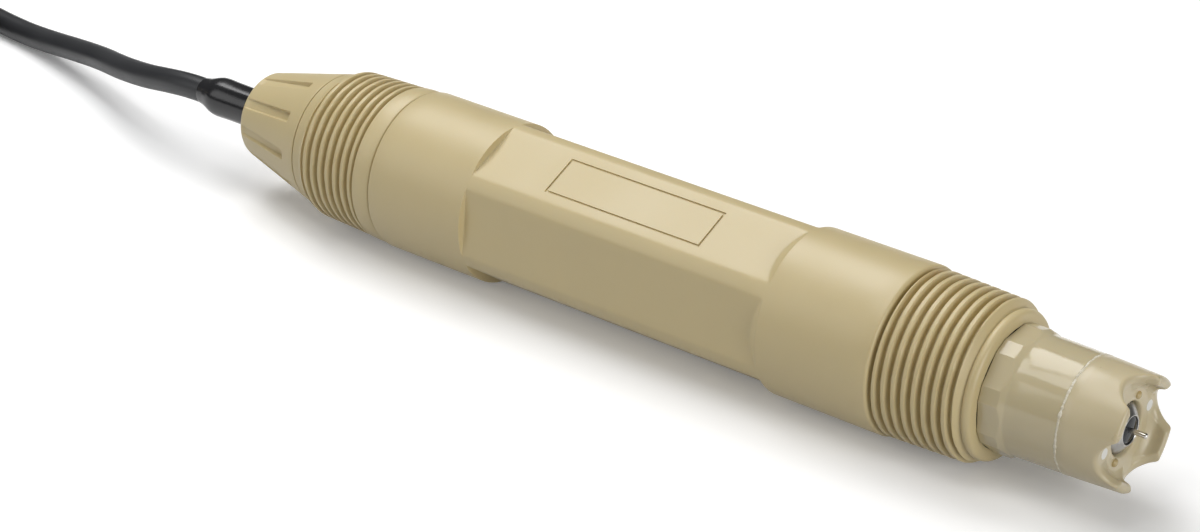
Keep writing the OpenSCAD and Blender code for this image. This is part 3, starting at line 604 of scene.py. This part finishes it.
# Tail cap. A blunt cone screwed on behind the rear fitting, with ten shallow slots for a
# pin wrench. Their floors lie flatter than the cone, so they end in a small step.
CAP_L, CAP_LARGE_R = 21.2, 14.9
CAP_CONE_S, CAP_CONE_R = 1.8, 10.07
CAP_SLOTS, SLOT_W, SLOT_END = 10, 2.1, 16.9
cap_half = [0, 2.2, 3.6, 4.3, 4.8, 5.2, 5.6, 6.0, 6.6, 7.4, 8.6, 10.5, 13, 15.5]
cap_angles = directions(cap_half, CAP_SLOTS, 0)
cap_outline = [(0.4, 4.42), (0.0, 4.6), (0.0, 8.3), (0.06, 8.75), (0.22, 9.15), (0.5, 9.5),
               (0.85, 9.76), (1.3, 9.95)]
cone_s = [*np.linspace(CAP_CONE_S, SLOT_END - 0.9, 16),
          *np.linspace(SLOT_END - 0.6, SLOT_END + 0.6, 9), 18.5, 19.8, CAP_L - 0.5]
slope = (CAP_LARGE_R - CAP_CONE_R) / (CAP_L - CAP_CONE_S)
cap_outline += [(s, CAP_CONE_R + (s - CAP_CONE_S) * slope) for s in cone_s]
cap_outline += [(CAP_L - 0.25, 14.78), (CAP_L - 0.12, 14.6), (CAP_L - 0.1, 14.2),
                (CAP_L - 0.1, 8.5), (5, 6.7), (5, 4.42), (0.4, 4.42)]
cap_outline = np.array(cap_outline)
cap_r = np.repeat(cap_outline[:, 1:], len(cap_angles), axis=1)
cap_pitch = 360 / CAP_SLOTS
off = (cap_angles + cap_pitch / 2) % cap_pitch - cap_pitch / 2
for i, (s, r) in enumerate(cap_outline):
    if r > 9.6 and 0.8 < s < 18:
        across = np.abs(r * np.sin(np.radians(off)))
        wall = 1 - fade(across, SLOT_W / 2 - 0.16, SLOT_W / 2 + 0.16)
        along = 1 - fade(s, SLOT_END - 0.25, SLOT_END + 0.25)
        deep = 0.28 + 0.75 * (s / SLOT_END)
        cap_r[i] -= deep * wall * along * fade(s, 0.9, 1.6)
cap = moulded("tail_cap_moulding", cap_outline[:, 0], cap_r, cap_angles, SENSOR_X,
              SENSOR_LINE, sharp=50)
cap.data.materials.append(peek)
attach(cap, "root")
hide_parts("tail_cap")


# Salt bridge barrel. Machined and polished from the same polymer, a little greyer than
# the mouldings. Eight flats with cut corners take a wrench, then a cone leads to the barrel.
# Behind the flats a threaded shank screws into the body.
WRENCH_S, CONE_S, BARREL_S, WELD_S, TIP_S = 194.013, 197.763, 199.363, 210.463, 222.563
WRENCH_ANGLE, WRENCH_REACH, CORNER_REACH = 4.5, 12.4, 12.75
BARREL_R, BRIDGE_BORE_R = 12.1, 8.8
SHANK_S, SHANK_R, SHANK_PITCH, SHANK_DEPTH = 183.913, 11.0, 1.5, 0.75
SHANK_END_S = WRENCH_S - 2.3
half_wrench = [0, 4, 8, 12, 14.2, 14.9, 15.2, 15.5, 16.2, 17.4, 19, 20.8]
bridge_angles = directions(half_wrench, 8, WRENCH_ANGLE)
octagon = np.minimum(off_flats(bridge_angles, WRENCH_ANGLE, 45, WRENCH_REACH),
                     off_flats(bridge_angles, WRENCH_ANGLE + 22.5, 45, CORNER_REACH))
stations, kinds = [], []
rows(BRIDGE_BORE_R, SHANK_S + 0.04)
rows(10.1, SHANK_S)
rows("shank", *np.arange(SHANK_S + 0.1, SHANK_END_S, 0.125))
rows(SHANK_R, WRENCH_S - 2.2, WRENCH_S)
rows(("wrench", 0.3), WRENCH_S)
rows(("wrench", 0.08), WRENCH_S + 0.03)
for rise in (0.15, 1.6, CONE_S - 0.9 - WRENCH_S):
    rows(("wrench", 0.0), WRENCH_S + rise)
rows("cone", *np.linspace(CONE_S - 0.5, BARREL_S - 0.1, 20))
rows(BARREL_R, BARREL_S + 0.25, BARREL_S + 2)
rows(11.98, WELD_S - 3)
rows(11.9, WELD_S - 0.25)
rows(11.78, WELD_S - 0.06)
rows(11.6, WELD_S)
rows(BRIDGE_BORE_R, WELD_S, SHANK_S + 0.04)
stations = np.array(stations)
radii = np.zeros((len(stations), len(bridge_angles)))
for i, (s, kind) in enumerate(zip(stations, kinds)):
    if isinstance(kind, tuple):
        radii[i] = octagon - kind[1]
    elif kind == "shank":
        height = thread_height(s, bridge_angles, SHANK_PITCH, 0.0)
        ridge = np.minimum(SHANK_R - SHANK_DEPTH * (1 - height), 10.2 + s - SHANK_S)
        radii[i] = np.maximum(ridge, SHANK_R - max(SHANK_END_S - s, 0))
    elif kind == "cone":
        cone = 12.12 + (BARREL_S - s) / (BARREL_S - CONE_S) * 0.88
        radii[i] = np.maximum(soft_least(octagon, cone, 0.05), BARREL_R)
    else:
        radii[i] = kind
barrel = moulded("salt_bridge_barrel_turned", stations, radii, bridge_angles, SENSOR_X,
                 SENSOR_LINE, sharp=30)
bridge_peek = surface("polished_peek", [(0.51, 0.435, 0.27), (0.57, 0.49, 0.31)],
                      0.13, patch=18, grain=0.8, relief=0.004)
let_light_in(bridge_peek, 0.15)
barrel.data.materials.append(bridge_peek)
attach(barrel, "salt_bridge")
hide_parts("salt_bridge_barrel")


# Salt bridge tip. A cup welded to the barrel. Four lugs guard the sensing end, and the
# round scoops between them let the liquid wash through the recess.
LUG_ANGLE, SCOOP_R, SCOOP_DEPTH = 56.5, 5.3, 3.8
FLOOR_S = TIP_S - SCOOP_DEPTH
OUT_R, IN_R, SKIRT_R, EDGE_R, TIP_BORE_R = 11.4, 9.5, 11.75, 11.52, 8.0
FILLET_R, FILLET_H = 1.6, 1.9
tip_angles = np.arange(0, 360, 1.25)
off = (tip_angles - LUG_ANGLE + 45) % 90 - 45
scoop_off = 45 - np.abs(off)


def rim_station(radius):
    """Station of the lugs' ends and of the scoops between them, at one radius."""
    side = radius * np.sin(np.radians(scoop_off))
    inside = np.clip(SCOOP_R ** 2 - side ** 2, 0.0001, None)
    scoop = TIP_S - SCOOP_DEPTH + SCOOP_R - np.sqrt(inside)
    return soft_least(scoop, TIP_S - 0.1, 0.5) + 0.1


def wall_radius(station):
    """Radius of the recess's wall, which meets the floor in a wide hollow fillet."""
    return IN_R - FILLET_R * (1 - np.clip((station - FLOOR_S) / FILLET_H, 0, 1)) ** 2


s_rows, r_rows = [], []


def tip_row(station, radius):
    """Adds a row. Its station and its radius may be one value or differ round the tip."""
    s_rows.append(station + 0 * tip_angles)
    r_rows.append(radius + 0 * tip_angles)


tip_row(WELD_S + 0.02, TIP_BORE_R)
for s, radius in ((0.0, 11.6), (0.0, 11.8), (0.12, 11.88), (2.0, 11.86), (5.0, SKIRT_R)):
    tip_row(WELD_S + s, radius)
for share in (0.15, 0.4, 0.7, 1.0):
    reach = rim_station(OUT_R) - 1.0 - WELD_S - 5
    tip_row(WELD_S + 5 + reach * share, SKIRT_R - (SKIRT_R - EDGE_R) * share)
for back, sink in ((0.62, 0.02), (0.34, 0.10), (0.15, 0.25), (0.04, 0.44)):
    tip_row(rim_station(OUT_R - sink) - back, EDGE_R - sink * 1.6)
for radius, back in ((10.6, 0.0), (10.2, 0.0), (9.9, 0.05), (9.7, 0.16), (IN_R + 0.04, 0.34)):
    tip_row(np.maximum(rim_station(radius) - back, FLOOR_S + 0.04), radius)
wall_top = np.maximum(rim_station(IN_R) - 0.4, FLOOR_S + 0.04)
for share in (0.06, 0.2, 0.35, 0.5, 0.62, 0.73, 0.82, 0.9, 0.96, 1.0):
    station = wall_top - (wall_top - FLOOR_S - 0.04) * share
    tip_row(station, wall_radius(station))
for s, radius in ((0.01, 7.6), (0.0, 7.2), (0.0, 6.6), (-0.02, 5.9), (-0.1, 5.66), (-0.3, 5.5),
                  (-5.0, 5.5), (-5.0, TIP_BORE_R)):
    tip_row(FLOOR_S + s, radius)
tip_row(WELD_S + 0.02, TIP_BORE_R)
tip = moulded("salt_bridge_tip_cup", np.array(s_rows), np.array(r_rows), tip_angles, SENSOR_X,
              SENSOR_LINE, sharp=50)
tip_peek = surface("moulded_tip_peek", [(0.53, 0.45, 0.28), (0.60, 0.515, 0.33)],
                   0.3, patch=12, grain=0.6, relief=0.01)
let_light_in(tip_peek, 0.15)
tip.data.materials.append(tip_peek)
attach(tip, "salt_bridge")
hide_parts("salt_bridge_tip")


# Weld flash. Where barrel and tip were pressed together hot, a thin, uneven, creamy bead
# of melted polymer stands round the joint.
FLASH_R, FLASH_HALF_W, FLASH_HEIGHT = 11.84, 0.26, 0.13
flash_angles = np.arange(0, 360, 0.6)


def flecks(angle, cycles, seed):
    """Uneven swelling round a ring, with some number of lumps to a turn."""
    turn = math.radians(angle)
    reach = cycles / (2 * math.pi)
    return noise.noise(Vector((reach * math.cos(turn), reach * math.sin(turn), seed)))


swell = np.array([0.6 * flecks(a, 70, 3.1) + 0.7 * flecks(a, 190, 7.7) for a in flash_angles])
drift = np.array([flecks(a, 45, 5.3) for a in flash_angles])
flash_s, flash_r = [], []
for k in range(9):
    turn = math.radians(k * 45)
    flash_s.append(WELD_S + 0.14 * drift + (FLASH_HALF_W + 0.22 * swell) * math.cos(turn))
    flash_r.append(FLASH_R + (FLASH_HEIGHT + 0.16 * swell) * math.sin(turn))
flash = moulded("weld_flash_bead", np.array(flash_s), np.array(flash_r), flash_angles, SENSOR_X,
                SENSOR_LINE, sharp=80)
flash_cream = surface("weld_flash_cream", [(0.44, 0.37, 0.22), (0.92, 0.89, 0.78)],
                      0.45, patch=0.9, grain=0.25, relief=0.05)
flash.data.materials.append(flash_cream)
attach(flash, "salt_bridge")


# Cement drops. Two tan beads of the cement that holds the carrier have risen beside the
# sensing face and set there.
cement = surface("cement_brown", [(0.44, 0.33, 0.15), (0.54, 0.43, 0.22)],
                 0.2, patch=0.8, grain=0.4, relief=0.01)
bpy.ops.object.select_all(action="DESELECT")
for name, turn, radius, size in (("cement_drop_1", 63, 6.7, 0.8),
                                 ("cement_drop_2", -124, 6.6, 0.85)):
    bpy.ops.mesh.primitive_ico_sphere_add(subdivisions=4, radius=size * MM, location=(
        (SENSOR_X + FLOOR_S) * MM, radius * math.cos(math.radians(turn)) * MM,
        (SENSOR_LINE[1] + radius * math.sin(math.radians(turn))) * MM))
    drop = bpy.context.object
    drop.name = drop.data.name = name
    drop.scale = (0.8, 1.1, 1.0)
    bpy.ops.object.transform_apply(location=True, rotation=True, scale=True)
    bpy.ops.object.mode_set(mode="EDIT")
    bpy.ops.mesh.select_all(action="SELECT")
    bpy.ops.transform.vertex_random(offset=0.03 * MM, seed=turn % 7)
    bpy.ops.mesh.vertices_smooth(factor=0.5, repeat=3)
    bpy.ops.object.mode_set(mode="OBJECT")
    bpy.ops.object.shade_smooth()
    drop.data.materials.append(cement)
    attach(drop, "salt_bridge")


# Sensing face. A turned titanium ring with a raised cone is the solution ground. In it
# sits the dark glass stem, and from the glass stands the platinum pin.
EDGE_S = FLOOR_S - 0.6
GROUND_L, GROUND_R, GROUND_BORE_R = 7.4, 5.1, 2.8
GLASS_R = 2.78
PIN_R, PIN_END = 0.55, FLOOR_S + 4.3
ring = turned("ground_ring_turned", [
    (EDGE_S - GROUND_L, GROUND_BORE_R), (EDGE_S - GROUND_L, GROUND_R),
    (EDGE_S - 0.12, GROUND_R), (EDGE_S, 5.0), (EDGE_S + 1.28, 3.2), (EDGE_S + 1.4, 3.05),
    (EDGE_S + 1.4, 2.9), (EDGE_S + 1.3, GROUND_BORE_R), (EDGE_S - GROUND_L, GROUND_BORE_R)],
    SENSOR_X, SENSOR_LINE, steps=160)
titanium = surface("turned_titanium", [(0.42, 0.41, 0.39), (0.52, 0.51, 0.49)],
                   0.3, patch=2.5, grain=0.15, relief=0.006, metal=1.0)
ring.data.materials.append(titanium)
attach(ring, "root")
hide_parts("ground_ring")

glass = turned("glass_stem_end", [
    (EDGE_S - 9, 0), (EDGE_S - 9, GLASS_R), (EDGE_S + 1.02, GLASS_R), (EDGE_S + 1.16, 2.7),
    (EDGE_S + 1.3, 2.3), (EDGE_S + 1.4, 1.6), (EDGE_S + 1.47, 0.9), (EDGE_S + 1.5, 0)],
    SENSOR_X, SENSOR_LINE, steps=128)
dark_glass = surface("dark_glass", [(0.010, 0.011, 0.013), (0.030, 0.033, 0.036)],
                     0.06, patch=1.2, grain=0.6, relief=0.01)
dark_glass.node_tree.nodes["Principled BSDF"].inputs["Specular IOR Level"].default_value = 0.2
glass.data.materials.append(dark_glass)
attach(glass, "root")
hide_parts("glass_stem")

pin = turned("platinum_pin_drawn", [
    (EDGE_S - 6, 0), (EDGE_S - 6, PIN_R), (EDGE_S + 1.35, PIN_R), (PIN_END - 0.5, PIN_R),
    (PIN_END - 0.26, 0.5), (PIN_END - 0.1, 0.38), (PIN_END - 0.02, 0.2), (PIN_END, 0)],
    SENSOR_X, SENSOR_LINE, steps=48)
platinum = surface("drawn_platinum", [(0.60, 0.57, 0.52), (0.72, 0.69, 0.64)],
                   0.24, patch=0.8, grain=0.08, relief=0.003, metal=1.0)
pin.data.materials.append(platinum)
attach(pin, "root")
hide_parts("platinum_pin")


# Inner and small parts keep their plain shape. Each has the finish of its own material:
# rubber, glass, porous ceramic, steel, cast resin and the parts of the circuit board.
cell_glass = surface("clear_cell_glass", [(0.66, 0.76, 0.78), (0.74, 0.82, 0.84)],
                     0.06, patch=6, grain=1.0, relief=0.004)
cell_glass.node_tree.nodes["Principled BSDF"].inputs["Transmission Weight"].default_value = 0.75
black_rubber = surface("sealing_rubber", [(0.020, 0.020, 0.022), (0.032, 0.032, 0.034)],
                       0.5, patch=3, grain=0.3, relief=0.01)
white_ceramic = surface("porous_ceramic", [(0.74, 0.73, 0.68), (0.86, 0.85, 0.81)],
                        0.7, patch=0.6, grain=0.12, relief=0.03)
steel = surface("washer_steel", [(0.52, 0.52, 0.53), (0.62, 0.62, 0.63)],
                0.3, patch=3, grain=0.2, relief=0.004, metal=1.0)
resin = surface("potting_resin", [(0.03, 0.028, 0.025), (0.05, 0.046, 0.04)],
                0.3, patch=4, grain=1.2, relief=0.03)
green_board = surface("solder_resist_green", [(0.02, 0.14, 0.06), (0.03, 0.19, 0.09)],
                      0.3, patch=2, grain=0.4, relief=0.01)
chip_black = surface("chip_moulding", [(0.02, 0.02, 0.022), (0.035, 0.035, 0.037)],
                     0.5, patch=1.5, grain=0.1, relief=0.01)
blue_film = surface("capacitor_film_blue", [(0.02, 0.03, 0.12), (0.04, 0.05, 0.18)],
                    0.25, patch=2, grain=0.4, relief=0.01)
red_wire = surface("wire_insulation_red", [(0.30, 0.03, 0.02), (0.42, 0.05, 0.04)],
                   0.35, patch=3, grain=0.2, relief=0.01)
bead_blue = surface("thermistor_coating", [(0.08, 0.14, 0.22), (0.13, 0.21, 0.30)],
                    0.3, patch=1.2, grain=0.3, relief=0.01)
for finish, members in (
    (bridge_peek, ["electrode_carrier"]),
    (black_rubber, ["rear_seal", "carrier_seal", "ring_seals", "bridge_seal", "cable_grommet"]),
    (cell_glass, ["standard_cell", "reference_electrode"]),
    (white_ceramic, ["cell_junction", "porous_junctions"]),
    (steel, ["clamp_washer", "shield_can"]),
    (resin, ["potting_plug"]),
    (green_board, ["amplifier_board"]),
    (chip_black, ["amplifier_chips"]),
    (blue_film, ["board_capacitors"]),
    (red_wire, ["lead_wires"]),
    (bead_blue, ["temperature_sensor"]),
):
    for node in members:
        dress(node, finish)


# Table and light. A white table without an edge in a white room, both of which light the
# sensor less than they show. Soft square lamps stand high behind it, over it and in front
# of both its ends.
bpy.ops.object.select_all(action="DESELECT")
bpy.ops.mesh.primitive_plane_add(size=12, location=(0, 0, 0))
table = bpy.context.object
table.name = "white_table"
table_white = bpy.data.materials.new("table_white")
table_white.use_nodes = True
table_nodes, table_links = table_white.node_tree.nodes, table_white.node_tree.links
table_nodes.remove(table_nodes["Principled BSDF"])
seen = table_nodes.new("ShaderNodeBsdfDiffuse")
seen.inputs["Color"].default_value = (0.97, 0.97, 0.97, 1)
unseen = table_nodes.new("ShaderNodeBsdfDiffuse")
unseen.inputs["Color"].default_value = (0.52, 0.52, 0.52, 1)
glow = table_nodes.new("ShaderNodeEmission")
glow.inputs["Strength"].default_value = 0.14
bright = table_nodes.new("ShaderNodeAddShader")
table_links.new(seen.outputs["BSDF"], bright.inputs[0])
table_links.new(glow.outputs["Emission"], bright.inputs[1])
rays = table_nodes.new("ShaderNodeLightPath")
watched = rays.outputs["Is Camera Ray"]
for kind in ("Is Glossy Ray", "Is Transmission Ray"):
    either = table_nodes.new("ShaderNodeMath")
    either.operation = "MAXIMUM"
    table_links.new(watched, either.inputs[0])
    table_links.new(rays.outputs[kind], either.inputs[1])
    watched = either.outputs["Value"]
choice = table_nodes.new("ShaderNodeMixShader")
table_links.new(watched, choice.inputs["Fac"])
table_links.new(unseen.outputs["BSDF"], choice.inputs[1])
table_links.new(bright.outputs["Shader"], choice.inputs[2])
table_links.new(choice.outputs["Shader"], table_nodes["Material Output"].inputs["Surface"])
table.data.materials.append(table_white)

room = bpy.data.worlds.new("studio_room")
bpy.context.scene.world = room
room.use_nodes = True
room_nodes, room_links = room.node_tree.nodes, room.node_tree.links
room_nodes["Background"].inputs["Color"].default_value = (1, 1, 1, 1)
room_rays = room_nodes.new("ShaderNodeLightPath")
room_level = room_nodes.new("ShaderNodeMapRange")
room_level.inputs["To Min"].default_value = 0.09
room_level.inputs["To Max"].default_value = 0.9
room_links.new(room_rays.outputs["Is Camera Ray"], room_level.inputs["Value"])
room_links.new(room_level.outputs["Result"], room_nodes["Background"].inputs["Strength"])

for name, place, aim, width, power in (
    ("rear_softbox", (-0.44, 0.23, 0.85), (0, 0, 0), 0.6, 6.0),
    ("overhead_softbox", (-0.1, -0.3, 1.0), (0, 0, 0), 0.5, 2.8),
    ("tail_side_fill", (-0.6, -0.7, 0.5), (-0.05, 0, 0), 0.6, 1.8),
    ("tip_side_fill", (1.05, -0.25, 0.34), (0.1, 0, 0.02), 0.6, 6.0),
):
    bpy.ops.object.light_add(type="AREA", location=place)
    lamp = bpy.context.object
    lamp.name = name
    lamp.data.shape = "RECTANGLE"
    lamp.data.size = lamp.data.size_y = width
    lamp.data.energy = power
    lamp.rotation_euler = (Vector(aim) - Vector(place)).to_track_quat("-Z", "Y").to_euler()
